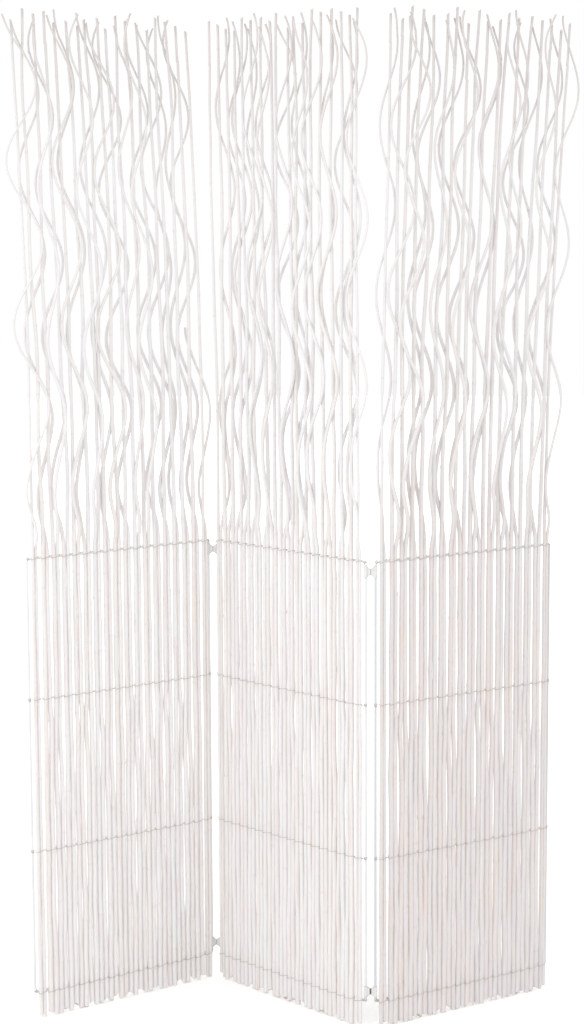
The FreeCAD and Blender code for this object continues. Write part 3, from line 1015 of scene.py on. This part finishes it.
for panelName, panel in panels.items():
    wavySide = wavySides(panel)
    stems = [describeTwig(panel, pair, side, wavySide[pair])
             for pair in range(screen["pairs"]) for side in (-1, 1)]
    plots = plotDrifts(panel, stems)
    draw = random.Random(twigLook["seedStep"] * panel["seed"])
    bundles = {which: newMeshLists("cuts", *pointData)
               for which in ("straight_twigs", "wavy_twigs_front", "wavy_twigs_back")}
    for stem in stems:
        which = "straight_twigs"
        if stem["layer"]:
            which = "wavy_twigs_front" if stem["layer"] < 0 else "wavy_twigs_back"
        growTwig(panel, stem, plots[stem["number"]], draw, bundles[which])
    for which, mesh in bundles.items():
        words = "".join(word.capitalize() for word in which.split("_"))
        made = makeObject(panelName + words, mesh, [willowFinish, cutFinish])
        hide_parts(f"{panelName}_{which}")
        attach(made, f"{panelName}_panel")
    makeTieRows(panelName, panel, stems, wireFinish)
    makeRodFrame(panelName, panel, rodFinish)
    print(panelName, "panel made")

for fold in ("left_fold", "right_fold"):
    for which in ("upper", "lower"):
        makeClip(fold, which, clipFinish)
print("clips made")

# Studio
studio = {
    "floorSize": 14.0, "floorRings": 24, "floorCorners": 96, "ringGrowth": 1.5,
    "floorColour": (0.90, 0.90, 0.90), "floorUneven": 0.99, "floorRoughness": 0.9, "floorSpecular": 0.1,
    "nearGlow": 0.22, "farGlow": 0.45,  # the floor's own light, near the screen and far from it
    "nearReach": 0.5, "farReach": 2.4,
    "world": ((1.0, 0.998, 0.995), 1.03), "backdrop": ((1, 1, 1), 1.0),  # the camera sees the backdrop
    "lamps": {  # place, power and size
        "key": ((-2.6, -3.4, 2.4), 30.0, 3.0), "fill": ((2.6, -3.4, 1.8), 6.0, 3.0),
        "top": ((0.0, 0.4, 4.2), 8.0, 3.0),
    },
    "aim": (0.0, 0.0, 0.9),
}


def makeFloor():
    rings, corners = studio["floorRings"], studio["floorCorners"]
    mesh = newMeshLists()
    addPoint(mesh, (0.0, 0.0, 0.0))
    for ring in range(1, rings + 1):
        reach = studio["floorSize"] * (ring / rings) ** studio["ringGrowth"]
        for corner in range(corners):
            angle = fullTurn * corner / corners
            addPoint(mesh, (reach * math.cos(angle), reach * math.sin(angle), 0.0))
    mesh["faces"] += [(0, 1 + corner, 1 + (corner + 1) % corners) for corner in range(corners)]
    for ring in range(rings - 1):
        low = 1 + ring * corners
        for corner in range(corners):
            after = (corner + 1) % corners
            mesh["faces"].append((low + corner, low + corners + corner, low + corners + after, low + after))
    finish = newFinish("studioFloor")
    links, shader = finish["links"], finish["shader"]
    place = objectPlace(finish)
    tone = studio["floorColour"]
    cloud = addNoise(finish, place, 2.0, 2.0, 0.5)
    colour = addMix(finish, cloud, tone, tuple(value * studio["floorUneven"] for value in tone))
    links.new(colour, shader.inputs["Base Color"])
    shader.inputs["Roughness"].default_value = studio["floorRoughness"]
    shader.inputs["Specular IOR Level"].default_value = studio["floorSpecular"]
    distance = addNode(finish, "VectorMath", place)
    distance.operation = "LENGTH"
    strength = addRange(finish, distance.outputs["Value"], studio["nearReach"], studio["farReach"],
                        studio["nearGlow"], studio["farGlow"])
    glow = addNode(finish, "Emission", Color=(1, 1, 1), Strength=strength)
    lit = shader.outputs["BSDF"]
    glowing = addNode(finish, "AddShader", lit, glow.outputs["Emission"]).outputs["Shader"]
    seen = addNode(finish, "LightPath").outputs["Is Camera Ray"]
    chosen = addNode(finish, "MixShader", seen, lit, glowing)
    links.new(chosen.outputs["Shader"], finish["nodes"]["Material Output"].inputs["Surface"])
    floor = makeObject("studioFloor", mesh, [finish["material"]])


def makeWorld():
    world = bpy.data.worlds.new("studioWorld")
    bpy.context.scene.world = world
    world.use_nodes = True
    sky = {"nodes": world.node_tree.nodes, "links": world.node_tree.links}
    sky["nodes"].clear()
    path = addNode(sky, "LightPath")
    seen = addMath(sky, "MAXIMUM", path.outputs["Is Camera Ray"], path.outputs["Is Glossy Ray"])
    seen = addMath(sky, "MAXIMUM", seen, path.outputs["Is Transmission Ray"])
    glows = [addNode(sky, "Background", *studio[key]).outputs["Background"] for key in ("world", "backdrop")]
    addNode(sky, "OutputWorld", addNode(sky, "MixShader", seen, *glows).outputs["Shader"])


def makeLamp(name, spot, power, size):
    lamp = bpy.data.lights.new(name + "Lamp", "AREA")
    lamp.shape = "DISK"
    lamp.size, lamp.energy = size, power
    made = bpy.data.objects.new(name + "Lamp", lamp)
    bpy.context.scene.collection.objects.link(made)
    made.location = spot
    towards = Vector(studio["aim"]) - made.location
    made.rotation_euler = towards.to_track_quat("-Z", "Y").to_euler()


cameraLook = {
    "fromMiddlePanel": (0.3449, -4.0256, 1.4472),  # from the foot of the middle panel's centre line
    "yaw": -4.819,  # degrees to the right of +Y
    "pitch": 7.536,  # degrees down
    "roll": -0.245,
    "focalPixels": 2260.1,
    "imageHeight": 1024,
    "sensor": 36.0,
    "clipRange": (0.05, 60.0),
}


def makeCamera():
    look = cameraLook
    data = bpy.data.cameras.new("photoCamera")
    data.sensor_fit = "VERTICAL"
    data.sensor_height = look["sensor"]
    data.lens = look["focalPixels"] * look["sensor"] / look["imageHeight"]
    data.clip_start, data.clip_end = look["clipRange"]
    camera = bpy.data.objects.new("photoCamera", data)
    bpy.context.scene.collection.objects.link(camera)
    middle = panels["middle"]
    spot = middle["corner"] + middle["across"] * screen["rodSpacing"] / 2 + Vector(look["fromMiddlePanel"])
    camera.matrix_world = Matrix.Translation(spot)
    for key, axis, start, way in (("yaw", "Z", 0, -1), ("pitch", "X", 90, -1), ("roll", "Z", 0, 1)):
        camera.matrix_world @= Matrix.Rotation(math.radians(start + way * look[key]), 4, axis)
    bpy.context.scene.camera = camera


makeFloor()
makeWorld()
for lampName, lamp in studio["lamps"].items():
    makeLamp(lampName, *lamp)
makeCamera()
bpy.context.scene.view_settings.view_transform = "Standard"
print("studio made")
